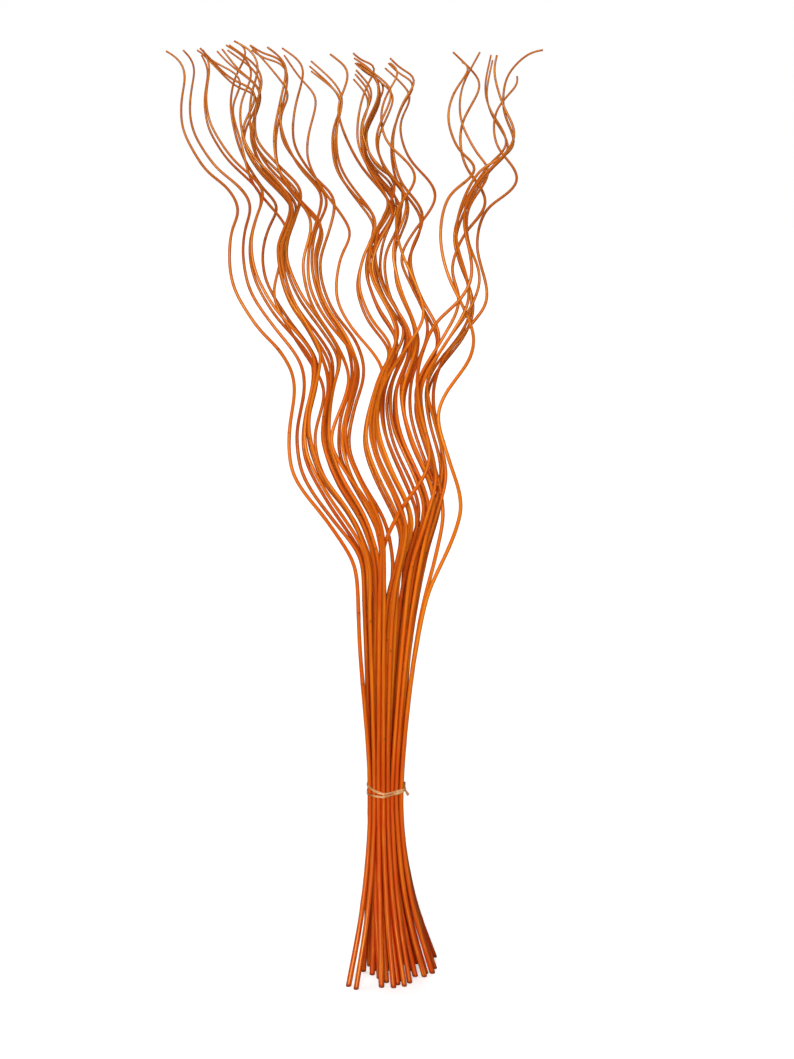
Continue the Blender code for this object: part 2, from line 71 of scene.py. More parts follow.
# Bud scars: a swelling of the stick, with a small bump and a notch on one side of it. The rings' step
# and clearance and the notch are in scar lengths and heights.
SCAR_SPACING = (0.085, 0.15)
SCAR_FIRST = 0.05
SCAR_LAST = 0.03
SCAR_HEIGHT = 0.11
SCAR_LENGTH = 0.0016
SCAR_ASPECT = 0.62
SCAR_RINGS = 5
SCAR_RING_STEP = 0.5
SCAR_CLEAR = 2.6
NOTCH_OFFSET = 0.5
NOTCH_LENGTH = 0.45
NOTCH_DEPTH = 0.8
NOTCH_DARKNESS = 0.95
SCAR_DARKNESS = 0.25
SWELLING = 0.05
SWELLING_LENGTH = 0.006

# The texture map: strips side by side, with the two cut ends above them.
MAP_STRIPS = 8
STRIP_EDGE = 0.06
STRIP_WIDTH = 0.88
STRIP_FOOT = 0.02
STRIP_HEIGHT = 0.90
STRIP_SPARE = 1.06
DISC_RADIUS = 0.018
DISC_PLACES = ((0.03, 0.965), (0.10, 0.965))
END_MAP_STEP = 0.002

# Moving the smooth sticks clear of each other.
SKIN_GAP = 0.0001
EASING_ROUNDS = 60
EASING_REACH = 0.0125
EASING_PUSH = 0.6
FIXED_BELOW = 0.02

# The bark's colour: a random tone of its dye, with painted shade deepening it on the sticks farther back,
# and painted shade, red, where a neighbour's skin is near.
DEPTH_SHADE_DEPTHS = (-0.045, 0.045)
DEPTH_SHADE_RANGE = (0.2, 1.0)
TONE_SPREAD = 0.35
CREVICE_SHADE_NEIGHBOURS = 14
CREVICE_SHADE_CLEARANCE = (0.0009, 0.0050)

# Raffia tie: the picture row of its middle, and its strand. A twist is its start and its swing, in
# radians, and the length of its wave.
TIE_ROW = 788.5
OUTLINE_STEPS = 720
STRAND_SIDES = 12
STRAND_WIDTH = 0.0031
STRAND_THICK = 0.0005
STRAND_CLEAR = 0.0001
STRAND_STACK = 0.0006
STRAND_STEPS = 200
STRAND_EASING = 24
STRAND_TWIST = (0.0, 0.35, 0.031)
STRAND_PATTERN = 3.0
WIDTH_WAVES = ((1.0, 0.14), (2.7, 0.08))
WIDTH_SPAN = 21.0
WIDTH_SHIFT = 2.0

# Heights of each turn above the tie's middle, at the left, the front, the right and the back.
STRAND_TURNS = (
    (0.0076, 0.0010, 0.0026, 0.0030),
    (-0.0044, -0.0022, 0.0018, -0.0030),
)

# The knot, from the bundle's right edge. Each piece: its name, its line, its broad direction, its
# width, how much browner it grows towards its end, and the swing of its twist.
KNOT_OFFSET = (0.0012, -0.0020, 0.0004)
KNOT_LINE_STEPS = 8
KNOT_TURN = 0.15
KNOT_TWIST_LENGTH = 0.011
KNOT_WIDENING = 0.25
KNOT_PATTERN = 9.0
# How brown a tail already is at its start, as a share.
BROWNING_START = 0.35
KNOT_PIECES = (
    ("raffia_knot", ((-0.0006, 0.0016, 0.0022), (0.0010, 0.0004, 0.0014), (0.0008, -0.0014, 0.0000),
                     (-0.0004, -0.0010, -0.0016), (0.0010, 0.0008, -0.0018), (0.0012, 0.0014, 0.0004),
                     (0.0004, -0.0008, 0.0016), (0.0010, -0.0016, -0.0004)),
     (0.0, 1.0, 0.0), 0.0018, 0.0, 0.6),
    ("raffia_tail_up", ((0.0002, -0.0006, -0.0004), (0.0000, -0.0010, 0.0022),
                        (-0.0005, -0.0012, 0.0058), (-0.0004, -0.0014, 0.0096)),
     (1.0, 0.0, 0.0), 0.0029, 1.0, 0.4),
    ("raffia_tail_down", ((0.0002, -0.0010, 0.0010), (0.0012, -0.0016, -0.0012),
                          (0.0028, -0.0022, -0.0042), (0.0046, -0.0024, -0.0076)),
     (1.0, 0.0, 0.0), 0.0029, 0.7, 0.4),
)

# Colours.
BARK_LIGHT = (1.00, 0.240, 0.0050, 1)
BARK_DEEP = (0.90, 0.145, 0.0026, 1)
FOOT_RED = (0.60, 0.046, 0.0010, 1)
# Deep red of the random dye tone and of the painted shade on the sticks farther back.
DEEP_DYE_AND_SHADE = (0.66, 0.028, 0.0008, 1)
STREAK_RED = (0.50, 0.030, 0.0014, 1)
FIBRE_GOLD = (1.00, 0.360, 0.0140, 1)
TIP_BROWN = (0.48, 0.105, 0.0120, 1)
# Painted shade in the crevices between sticks.
CREVICE_SHADE_RED = (0.58, 0.018, 0.0006, 1)
SPECK_BROWN = (0.20, 0.020, 0.0030, 1)
CUT_RIM = (0.14, 0.014, 0.0030, 1)
SCAR_BROWN = (0.070, 0.010, 0.004, 1)
BARK_SHEEN = (1.0, 0.80, 0.24, 1)
CUT_PALE = (0.50, 0.17, 0.035, 1)
CUT_DARK = (0.30, 0.075, 0.012, 1)
RAFFIA_LIGHT = (1.00, 0.50, 0.17, 1)
RAFFIA_DARK = (0.66, 0.22, 0.05, 1)
# Painted highlight on the raffia, in cream patches.
RAFFIA_PAINTED_HIGHLIGHT = (1.00, 0.76, 0.43, 1)
# Browner colour towards the ends of the knot's tails.
RAFFIA_END_BROWN = (0.42, 0.10, 0.020, 1)
FLOOR_SHADES = ((0.93, 0.93, 0.93, 1), (0.95, 0.95, 0.95, 1))
FLOOR_BOUNCE = (0.18, 0.18, 0.18, 1)

# The studio: each sun's name, bearing, height and spread in degrees, and strength.
SUNS = (
    ("key", -6.0, 18.0, 28.0, 2.85),
    ("overhead", 200.0, 68.0, 40.0, 1.1),
)
WORLD_LIGHT = 0.12
FLOOR_GLOW = 0.50
FLOOR_REACH = 60.0
SENSOR = 36.0


def new_material(name):
    """A new material, its shader and a builder for its nodes."""
    material = bpy.data.materials.new(name)
    material.use_nodes = True
    return material, material.node_tree.nodes["Principled BSDF"], NodeBuilder(material.node_tree)


def dyed_willow():
    """Orange dyed bark with grain, blotches, specks and scars, redder at the foot, duller at the tip,
    with painted shade on the sticks farther back and in the crevices between sticks.
    """
    material, shader, build = new_material("dyed_willow_bark")
    around, along = build.stick_place()
    seed = build.attribute("seed")
    streaks = build.noise(build.wrapped(around, along, 2.2, 13.0), seed, detail=2.5)
    fibres = build.noise(build.wrapped(around, along, 4.6, 24.0), seed, detail=1.5)
    blotches = build.noise(build.wrapped(around, along, 0.5, 16.0), seed, detail=1.0)
    specks = build.noise(build.wrapped(around, along, 3.2, 420.0), seed, detail=1.0)
    colour = build.mix(build.ramp(blotches, 0.36, 0.66), BARK_LIGHT, BARK_DEEP)
    layers = (
        (build.ramp(along, 0.42, 0.05), 0.95, FOOT_RED),
        # A random dye tone, deepened as painted shade on the sticks farther back.
        (build.attribute("tone_and_depth_shade"), 0.75, DEEP_DYE_AND_SHADE),
        (build.ramp(streaks, 0.50, 0.70), 0.60, STREAK_RED),
        (build.ramp(fibres, 0.52, 0.68), 0.60, FIBRE_GOLD),
        (build.ramp(along, 0.76, 1.12), 0.75, TIP_BROWN),
        # Painted shade: a deep red in the crevices where a neighbour's skin is near.
        (build.attribute("crevice_shade"), 0.75, CREVICE_SHADE_RED),
        (build.ramp(specks, 0.72, 0.82), 0.45, SPECK_BROWN),
        (build.ramp(along, 0.0042, 0.0008), 0.75, CUT_RIM),
        (build.attribute("scar"), 1.0, SCAR_BROWN),
    )
    for place, strength, tint in layers:
        colour = build.mix(build.scaled(place, strength), colour, tint)
    build.link(colour, shader.inputs["Base Color"])
    build.link(build.mapped(streaks, 0.30, 0.75, 0.30, 0.55), shader.inputs["Roughness"])
    shader.inputs["Specular IOR Level"].default_value = 1.0
    shader.inputs["Specular Tint"].default_value = BARK_SHEEN
    height = build.math("ADD", build.scaled(streaks, 0.7), build.scaled(fibres, 0.5))
    build.link(build.bump(height, 0.35, 0.00022), shader.inputs["Normal"])
    return material


def cut_wood():
    """The cut end of a stick: pale wood with darker rays, stained by the dye."""
    material, shader, build = new_material("dyed_willow_cut")
    around, along = build.stick_place()
    grain = build.noise(build.wrapped(around, along, 4.0, 900.0), build.attribute("seed"), detail=3.0)
    build.link(build.mix(build.ramp(grain, 0.35, 0.7), CUT_PALE, CUT_DARK), shader.inputs["Base Color"])
    build.link(build.mapped(grain, 0.3, 0.7, 0.65, 0.85), shader.inputs["Roughness"])
    return material


def raffia():
    """Dry pale raffia: glossy lengthwise fibres, cream patches painted in as highlights, and browner
    towards the ends of the knot's tails.
    """
    material, shader, build = new_material("raffia_strand")
    around, along = build.stick_place()
    seed = build.attribute("seed")
    fibres = build.noise(build.wrapped(around, along, 4.0, 90.0), seed, detail=3.0)
    highlight_clouds = build.noise(build.wrapped(around, along, 0.7, 160.0), seed, detail=2.0)
    colour = build.mix(build.ramp(fibres, 0.35, 0.7), RAFFIA_LIGHT, RAFFIA_DARK)
    # Painted highlight: cream patches along the strand.
    colour = build.mix(build.scaled(build.ramp(highlight_clouds, 0.45, 0.7), 0.7), colour, RAFFIA_PAINTED_HIGHLIGHT)
    # Browner towards the ends of the knot's tails.
    colour = build.mix(build.attribute("scar"), colour, RAFFIA_END_BROWN)
    build.link(colour, shader.inputs["Base Color"])
    build.link(build.mapped(fibres, 0.3, 0.7, 0.28, 0.5), shader.inputs["Roughness"])
    shader.inputs["Transmission Weight"].default_value = 0.12
    build.link(build.bump(fibres, 0.5, 0.0002), shader.inputs["Normal"])
    return material


class NodeBuilder:
    """Short ways to add the shader nodes that the materials share."""

    def __init__(self, tree):
        self.tree = tree

    def math(self, operation, a, b=None):
        node = self.tree.nodes.new("ShaderNodeMath")
        node.operation = operation
        for socket, value in zip(node.inputs, (a, b)):
            if isinstance(value, (int, float)):
                socket.default_value = value
            elif value is not None:
                self.link(value, socket)
        return node.outputs[0]

    def link(self, value, socket):
        self.tree.links.new(value, socket)

    def scaled(self, value, factor):
        return self.math("MULTIPLY", value, factor)

    def bump(self, height, strength, distance):
        node = self.tree.nodes.new("ShaderNodeBump")
        node.inputs["Strength"].default_value = strength
        node.inputs["Distance"].default_value = distance
        self.link(height, node.inputs["Height"])
        return node.outputs["Normal"]

    def attribute(self, name):
        node = self.tree.nodes.new("ShaderNodeAttribute")
        node.attribute_name = name
        return node.outputs["Fac"]

    def stick_place(self):
        """Where on its stick a point is: the turn about it, in radians, and the metres from its foot."""
        uv = self.tree.nodes.new("ShaderNodeUVMap")
        uv.uv_map = "stick"
        split = self.tree.nodes.new("ShaderNodeSeparateXYZ")
        self.link(uv.outputs[0], split.inputs[0])
        return self.scaled(split.outputs[0], 2 * math.pi), split.outputs[1]

    def wrapped(self, around, along, across_scale, along_scale):
        """A place in a pattern that meets itself round the stick."""
        join = self.tree.nodes.new("ShaderNodeCombineXYZ")
        self.link(self.scaled(self.math("COSINE", around), across_scale), join.inputs[0])
        self.link(self.scaled(self.math("SINE", around), across_scale), join.inputs[1])
        self.link(self.scaled(along, along_scale), join.inputs[2])
        return join.outputs[0]

    def noise(self, place, seed, detail):
        node = self.tree.nodes.new("ShaderNodeTexNoise")
        node.noise_dimensions = "4D"
        node.inputs["Scale"].default_value = 1.0
        node.inputs["Detail"].default_value = detail
        self.link(place, node.inputs["Vector"])
        self.link(seed, node.inputs["W"])
        return node.outputs[0]

    def mapped(self, value, low, high, to_low, to_high):
        node = self.tree.nodes.new("ShaderNodeMapRange")
        self.link(value, node.inputs["Value"])
        ends = {"From Min": low, "From Max": high, "To Min": to_low, "To Max": to_high}
        for name, number in ends.items():
            node.inputs[name].default_value = number
        return node.outputs[0]

    def ramp(self, value, low, high):
        return self.mapped(value, low, high, 0.0, 1.0)

    def mix(self, factor, a, b):
        node = self.tree.nodes.new("ShaderNodeMix")
        node.data_type = "RGBA"
        self.link(factor, node.inputs["Factor"])
        for socket, value in ((node.inputs[6], a), (node.inputs[7], b)):
            if isinstance(value, tuple):
                socket.default_value = value
            else:
                self.link(value, socket)
        return node.outputs[2]


def node_rings(obj):
    """The middles and radii of a CAD stick's rings, from the foot to the tip."""
    mesh = obj.data
    places = np.array([vertex.co for vertex in mesh.vertices])
    merged, index = np.unique(np.round(places, 6), axis=0, return_inverse=True)
    index = index.ravel()
    near = [set() for _ in merged]
    for edge in mesh.edges:
        a, b = (int(index[v]) for v in edge.vertices)
        near[a].add(b)
        near[b].add(a)
    ring = {i for i, place in enumerate(merged) if place[2] < merged[:, 2].min() + 1e-5}
    seen = set()
    middles, radii = [], []
    while ring:
        seen |= ring
        points = merged[sorted(ring)]
        middle = points.mean(0)
        middles.append(middle)
        radii.append(np.linalg.norm(points - middle, axis=1).min())
        ring = set().union(*(near[i] for i in ring)) - seen
    return np.array(middles), np.array(radii)


def catmull_rom(points, steps):
    """Points along a centripetal Catmull-Rom curve through the given ones."""
    ends = np.vstack((2 * points[0] - points[1], points, 2 * points[-1] - points[-2]))
    made = []
    for p0, p1, p2, p3 in zip(ends, ends[1:], ends[2:], ends[3:]):
        t1 = np.linalg.norm(p1 - p0) ** 0.5
        t2 = t1 + np.linalg.norm(p2 - p1) ** 0.5
        t3 = t2 + np.linalg.norm(p3 - p2) ** 0.5
        for t in np.linspace(t1, t2, steps, endpoint=False):
            a1 = (t1 - t) / t1 * p0 + t / t1 * p1
            a2 = (t2 - t) / (t2 - t1) * p1 + (t - t1) / (t2 - t1) * p2
            a3 = (t3 - t) / (t3 - t2) * p2 + (t - t2) / (t3 - t2) * p3
            b1 = (t2 - t) / t2 * a1 + t / t2 * a2
            b2 = (t3 - t) / (t3 - t1) * a2 + (t - t1) / (t3 - t1) * a3
            made.append((t2 - t) / (t2 - t1) * b1 + (t - t1) / (t2 - t1) * b2)
    made.append(points[-1])
    return np.array(made)


def lengths_along(points):
    """How far along the line each point is."""
    return np.concatenate(([0.0], np.cumsum(np.linalg.norm(np.diff(points, axis=0), axis=1))))


def sampled(points, values, wanted):
    """A line's points and values, read at wanted distances along it."""
    at = lengths_along(points)
    line = np.stack([np.interp(wanted, at, points[:, axis]) for axis in range(3)], 1)
    return line, np.interp(wanted, at, values)


def smooth_line(middles, radii):
    """A stick's middle line through its ring middles, evenly spaced and eased, with its radii."""
    curve = catmull_rom(np.column_stack((middles, radii)), LINE_STEPS)
    points, widths = curve[:, :3], curve[:, 3]
    total = lengths_along(points)[-1]
    points, widths = sampled(points, widths, np.linspace(0, total, int(total / RING_SPACING)))
    for _ in range(SMOOTHING_ROUNDS):
        points[1:-1] += SMOOTHING * (points[:-2] - 2 * points[1:-1] + points[2:])
    return points, widths


def turning_frames(points, across=(0.0, 1.0, 0.0)):
    """Two directions across the line at each point, turning as little as possible along it."""
    tangents = np.gradient(points, axis=0)
    tangents /= np.linalg.norm(tangents, axis=1)[:, None]
    side = np.cross(tangents[0], across)
    side /= np.linalg.norm(side)
    sides = []
    for tangent in tangents:
        side = side - tangent * (side @ tangent)
        side = side / np.linalg.norm(side)
        sides.append(side)
    sides = np.array(sides)
    return tangents, sides, np.cross(tangents, sides)


def scar_places(total, rng):
    """Where a stick's buds were: how far along and on which side."""
    places = []
    at = SCAR_FIRST + rng.uniform(0, SCAR_SPACING[1])
    while at < total - SCAR_LAST:
        places.append((at, rng.uniform(0, 2 * math.pi)))
        at += rng.uniform(*SCAR_SPACING)
    return places


def rod(name, rings, along, values, materials):
    """A closed rod over rings of points, with its maps and the values its material reads."""
    count, sides = len(rings), rings.shape[1]
    vertices = rings.reshape(-1, 3)
    ring_start = np.arange(count - 1)[:, None] * sides
    near = np.arange(sides)[None, :]
    far = (near + 1) % sides
    next_ring = ring_start + sides
    quads = np.stack((ring_start + near, ring_start + far, next_ring + far, next_ring + near), 2)
    faces = [tuple(q) for q in quads.reshape(-1, 4).tolist()]
    faces.append(tuple(range(sides - 1, -1, -1)))
    faces.append(tuple(range((count - 1) * sides, count * sides)))
    mesh = bpy.data.meshes.new(name)
    mesh.from_pydata(vertices.tolist(), [], faces)
    turns = np.stack(np.broadcast_arrays(near, near + 1, near + 1, near), 2) / sides
    turns = np.broadcast_to(turns, quads.shape)
    low, high = along[:-1, None], along[1:, None]
    runs = np.stack(np.broadcast_arrays(low, low, high, high), 2)
    runs = np.broadcast_to(runs, quads.shape)
    ends = [(j / sides, along[0] - END_MAP_STEP) for j in range(sides - 1, -1, -1)]
    ends += [(j / sides, along[-1] + END_MAP_STEP) for j in range(sides)]
    place = np.vstack((np.stack((turns, runs), -1).reshape(-1, 2), ends))
    mesh.uv_layers.new(name="stick").data.foreach_set("uv", place.ravel().astype(np.float32))
    strip_map(mesh, turns, runs, along, sides)
    for attribute, value in values.items():
        layer = mesh.attributes.new(attribute, "FLOAT", "POINT")
        layer.data.foreach_set("value", np.broadcast_to(value, (count, sides)).ravel().astype(np.float32))
    for material in materials:
        mesh.materials.append(material)
    mesh.shade_smooth()
    for polygon in mesh.polygons[-2:]:
        polygon.material_index = 1
        polygon.use_smooth = False
    obj = bpy.data.objects.new(name, mesh)
    bpy.context.scene.collection.objects.link(obj)
    return obj


def strip_map(mesh, turns, runs, along, sides):
    """A second map that cuts the rod's skin into strips laid side by side, for its texture."""
    span = (along[-1] - along[0]) / MAP_STRIPS
    middle = (along[:-1] + along[1:]) / 2 - along[0]
    strip = np.minimum((middle / span).astype(int), MAP_STRIPS - 1)[:, None, None]
    u = (strip + STRIP_EDGE + STRIP_WIDTH * turns) / MAP_STRIPS
    v = STRIP_FOOT + STRIP_HEIGHT * (runs - along[0] - strip * span) / (span * STRIP_SPARE)
    skin = np.stack((u, v), -1).reshape(-1, 2)
    turn = 2 * math.pi * np.arange(sides) / sides
    disc = np.stack((np.cos(turn), np.sin(turn)), 1) * DISC_RADIUS
    ends = np.vstack((disc[::-1] + DISC_PLACES[0], disc + DISC_PLACES[1]))
    layer = mesh.uv_layers.new(name="OFBake")
    layer.data.foreach_set("uv", np.vstack((skin, ends)).ravel().astype(np.float32))


def nearest_on_segments(p, q, r, s):
    """How far along segments p-q and r-s their nearest points are, and the step between them."""
    u, v, w = q - p, s - r, p - r
    a, b, c = (u * u).sum(1), (u * v).sum(1), (v * v).sum(1)
    d, e = (u * w).sum(1), (v * w).sum(1)
    along = np.clip((b * e - c * d) / np.maximum(a * c - b * b, 1e-16), 0, 1)
    across = np.clip((b * along + e) / c, 0, 1)
    along = np.clip((b * across - d) / a, 0, 1)
    return along, across, p + along[:, None] * u - r - across[:, None] * v


def near_pairs(points, begin, owner):
    """Pairs of segments of different sticks that lie near enough to touch."""
    middles = (points[begin] + points[begin + 1]) / 2
    tree = kdtree.KDTree(len(begin))
    for k, middle in enumerate(middles):
        tree.insert(middle, k)
    tree.balance()
    pairs = []
    for k, middle in enumerate(middles):
        for _, other, _ in tree.find_range(middle, EASING_REACH):
            if other > k and owner[begin[other]] != owner[begin[k]]:
                pairs.append((begin[k], begin[other]))
    return np.array(pairs).T


def eased_apart(lines):
    """The sticks' middle lines, moved slightly until their skins clear each other."""
    owner = np.concatenate([np.full(len(points), i) for i, (points, _) in enumerate(lines)])
    points = np.vstack([points for points, _ in lines])
    radius = np.concatenate([widths for _, widths in lines])
    one, two = near_pairs(points, np.flatnonzero(owner[:-1] == owner[1:]), owner)
    before = np.where(np.roll(owner, 1) == owner, np.arange(len(owner)) - 1, np.arange(len(owner)))
    after = np.where(np.roll(owner, -1) == owner, np.arange(len(owner)) + 1, np.arange(len(owner)))
    loose = (points[:, 2] > FIXED_BELOW)[:, None]
    moved = np.zeros_like(points)
    for _ in range(EASING_ROUNDS):
        now = points + moved
        along, across, step = nearest_on_segments(now[one], now[one + 1], now[two], now[two + 1])
        want = (radius[one] * (1 - along) + radius[one + 1] * along
                + radius[two] * (1 - across) + radius[two + 1] * across + SKIN_GAP)
        distance = np.linalg.norm(step, axis=1)
        push = step * (np.maximum(want - distance, 0) / np.maximum(distance, 1e-6))[:, None]
        close = distance < want
        moves = np.zeros_like(points)
        hits = np.zeros(len(points))
        for index, sign, share in ((one, 1, 1 - along), (one + 1, 1, along),
                                   (two, -1, 1 - across), (two + 1, -1, across)):
            np.add.at(moves, index[close], sign * EASING_PUSH * (push * share[:, None])[close])
            np.add.at(hits, index[close], share[close])
        moved += moves / np.maximum(hits, 1)[:, None] * loose
        moved = (1 - 2 * SMOOTHING) * moved + SMOOTHING * (moved[before] + moved[after])
    points = points + moved
    return [(points[owner == i], radius[owner == i]) for i in range(len(lines))]


def crowd_of(lines):
    """A search tree of all the sticks' middle points, with the stick, direction and radius at each."""
    places = np.vstack([points for points, _ in lines])
    ways = np.vstack([np.gradient(points, axis=0) for points, _ in lines])
    ways /= np.linalg.norm(ways, axis=1)[:, None]
    radii = np.concatenate([widths for _, widths in lines])
    owner = np.concatenate([np.full(len(points), i) for i, (points, _) in enumerate(lines)])
    tree = kdtree.KDTree(len(places))
    for k, place in enumerate(places):
        tree.insert(place, k)
    tree.balance()
    return tree, places, ways, radii, owner


def shade_between_sticks(rings, number, crowd):
    """How closely a neighbouring stick faces each point of a skin, 1 where they touch and 0 in the open:
    the weight of the painted shade in the crevices between sticks.
    """
    tree, places, ways, radii, owner = crowd
    points = rings.reshape(-1, 3)
    near = np.array([[found[1] for found in tree.find_n(point, CREVICE_SHADE_NEIGHBOURS)] for point in points])
    step = points[:, None, :] - places[near]
    step -= (step * ways[near]).sum(2)[:, :, None] * ways[near]
    clear = np.linalg.norm(step, axis=2) - radii[near]
    clear[owner[near] == number] = CREVICE_SHADE_CLEARANCE[1]
    return np.interp(clear.min(1), CREVICE_SHADE_CLEARANCE, (1.0, 0.0)).reshape(rings.shape[:2])


def ring_distances(total, scars):
    """How far along a stick its rings go: evenly spaced, but closer at each scar and at both ends."""
    wanted = set(np.round(np.linspace(END_RING, total - END_RING, int(total / RING_SPACING)), 6))
    for at, _ in scars:
        wanted = {w for w in wanted if abs(w - at) > SCAR_CLEAR * SCAR_LENGTH}
        steps = range(-SCAR_RINGS, SCAR_RINGS + 1)
        wanted |= {round(at + k * SCAR_RING_STEP * SCAR_LENGTH, 6) for k in steps}
    wanted |= {0.0, FOOT_RING, total - TIP_CHAMFER, total}
    return np.array(sorted(w for w in wanted if 0 <= w <= total))


def skin_relief(wanted, widths, angles, scars, starts):
    """A stick's slow swelling along its length, and the height and darkness of its scars."""
    swell = np.ones(len(wanted))
    for (wave, height), start in zip(SWELL_WAVES, starts):
        swell += height * np.sin(2 * math.pi * wanted / wave + start)
    bumps = np.zeros((len(wanted), SIDES))
    marks = np.zeros((len(wanted), SIDES))
    for at, facing in scars:
        offset = wanted - at
        swell += SWELLING * np.exp(-((offset / SWELLING_LENGTH) ** 2))
        turn = (angles - facing + math.pi) % (2 * math.pi) - math.pi
        across = turn * np.interp(at, wanted, widths) / (SCAR_ASPECT * SCAR_LENGTH)
        past = (offset - NOTCH_OFFSET * SCAR_LENGTH) / (NOTCH_LENGTH * SCAR_LENGTH)
        shape = np.exp(-((offset / SCAR_LENGTH)[:, None] ** 2) - across[None, :] ** 2)
        notch = np.exp(-(past[:, None] ** 2) - across[None, :] ** 2)
        bumps += SCAR_HEIGHT * (shape - NOTCH_DEPTH * notch)
        marks += NOTCH_DARKNESS * notch + SCAR_DARKNESS * shape
    return swell, bumps, marks


def level_foot(rings, tangents):
    """Set a stick's two lowest rings level, on and just over the floor, and keep the next ones higher."""
    for k, floor in ((0, 0.0), (1, FOOT_CHAMFER)):
        slide = (floor - rings[k, :, 2]) / tangents[k, 2]
        rings[k] += slide[:, None] * tangents[k]
    low = rings[2:FOOT_RINGS, :, 2] < 2 * FOOT_CHAMFER
    rings[2:FOOT_RINGS][low, 2] = 2 * FOOT_CHAMFER


def stick(node, number, lines, crowd, materials):
    """One smooth willow stick in place of its CAD node."""
    rng = np.random.default_rng(RANDOM_SEEDS + number)
    points, widths = lines[number]
    total = lengths_along(points)[-1]
    scars = scar_places(total, rng)
    wanted = ring_distances(total, scars)
    points, widths = sampled(points, widths, wanted)
    tangents, sides, others = turning_frames(points)
    angles = 2 * math.pi * np.arange(SIDES) / SIDES
    starts = rng.uniform(0, 2 * math.pi, 3)
    swell, bumps, marks = skin_relief(wanted, widths, angles, scars, starts)
    oval = 1 + OVAL * np.cos(2 * angles + starts[0])
    reach = widths[:, None] * (swell[:, None] * oval[None, :] + bumps)
    reach[0] -= FOOT_CHAMFER
    reach[-1] -= TIP_NARROWING
    spokes = (sides[:, None, :] * np.cos(angles)[None, :, None]
              + others[:, None, :] * np.sin(angles)[None, :, None])
    rings = points[:, None, :] + spokes * reach[:, :, None]
    level_foot(rings, tangents)
    # Painted shade: the sticks farther back get a deeper tone, with a random spread on top.
    depth = np.interp(points[-1, 2] / 2, points[:, 2], points[:, 1])
    tone_and_depth_shade = np.interp(depth, DEPTH_SHADE_DEPTHS, DEPTH_SHADE_RANGE) + rng.uniform(-TONE_SPREAD, TONE_SPREAD)
    # The crevice values weight the painted shade between neighbouring sticks.
    values = {"seed": PATTERN_STEP * number, "tone_and_depth_shade": np.clip(tone_and_depth_shade, 0, 1), "scar": np.clip(marks, 0, 1),
              "crevice_shade": shade_between_sticks(rings, number, crowd)}
    obj = rod("willow_" + node, rings, wanted, values, materials)
    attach(obj, "root")
    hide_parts(node)


def seen_height(row):
    """The height, above the origin, of a row of the picture."""
    forward = AIM - EYE
    up = np.cross((1.0, 0.0, 0.0), forward / np.linalg.norm(forward))
    direction = forward + up * (PICTURE_SIZE[1] / 2 - row) * PIXEL
    return float((EYE + direction * -EYE[1] / direction[1])[2])


def outline_at(lines, height, angles):
    """The middle of the bundle at a height, and how far its sticks reach each way from it."""
    centres, widths = [], []
    for points, radii in lines:
        centres.append([np.interp(height, points[:, 2], points[:, axis]) for axis in (0, 1)])
        widths.append(np.interp(height, points[:, 2], radii))
    centres, widths = np.array(centres), np.array(widths)
    middle = (centres.min(0) + centres.max(0)) / 2
    normals = np.stack((np.cos(angles), np.sin(angles)), 1)
    return middle, ((centres - middle) @ normals.T + widths[:, None]).max(0)


def strand_piece(name, points, broad, width, twist, seed, browning, materials):
    """A flat twisting strand along a line of points, broad at its start in the direction given."""
    _, sides, others = turning_frames(points, broad)
    at = lengths_along(points)
    angles = 2 * math.pi * np.arange(STRAND_SIDES) / STRAND_SIDES
    turn = twist[0] + twist[1] * np.sin(2 * math.pi * at / twist[2])
    rings = []
    for k, point in enumerate(points):
        flat = sides[k] * math.cos(turn[k]) + others[k] * math.sin(turn[k])
        edge = -sides[k] * math.sin(turn[k]) + others[k] * math.cos(turn[k])
        ring = (np.outer(np.cos(angles) * STRAND_THICK / 2, flat)
                + np.outer(np.sin(angles) * width[k] / 2, edge))
        rings.append(point + ring)
    obj = rod(name, np.array(rings), at, {"seed": seed, "scar": browning[:, None]}, materials)
    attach(obj, "root")
    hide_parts("twine_wrap")


def strand_loop(reach, angles, heights):
    """A closed loop drawn round an outline that reaches so far each way, with eased heights."""
    slope = (np.roll(reach, -1) - np.roll(reach, 1)) / (2 * angles[1])
    x = reach * np.cos(angles) - slope * np.sin(angles)
    y = reach * np.sin(angles) + slope * np.cos(angles)
    loop = np.stack((x, y, 0 * x), 1)
    loop = np.vstack((loop, loop[:1]))
    total = lengths_along(loop)[-1]
    ring, _ = sampled(loop, np.zeros(len(loop)), np.linspace(0, total, STRAND_STEPS))
    bearing = np.unwrap(np.arctan2(ring[:, 1], ring[:, 0])) % (2 * math.pi)
    left, front, right, back = heights
    quarters = np.array((0, 0.5, 1.0, 1.5, 2.0)) * math.pi
    rise = np.interp(bearing, quarters, (right, back, left, front, right))[:-1]
    for _ in range(STRAND_EASING):
        rise += SMOOTHING * (np.roll(rise, 1) - 2 * rise + np.roll(rise, -1))
    ring[:, 2] = np.append(rise, rise[0])
    return ring


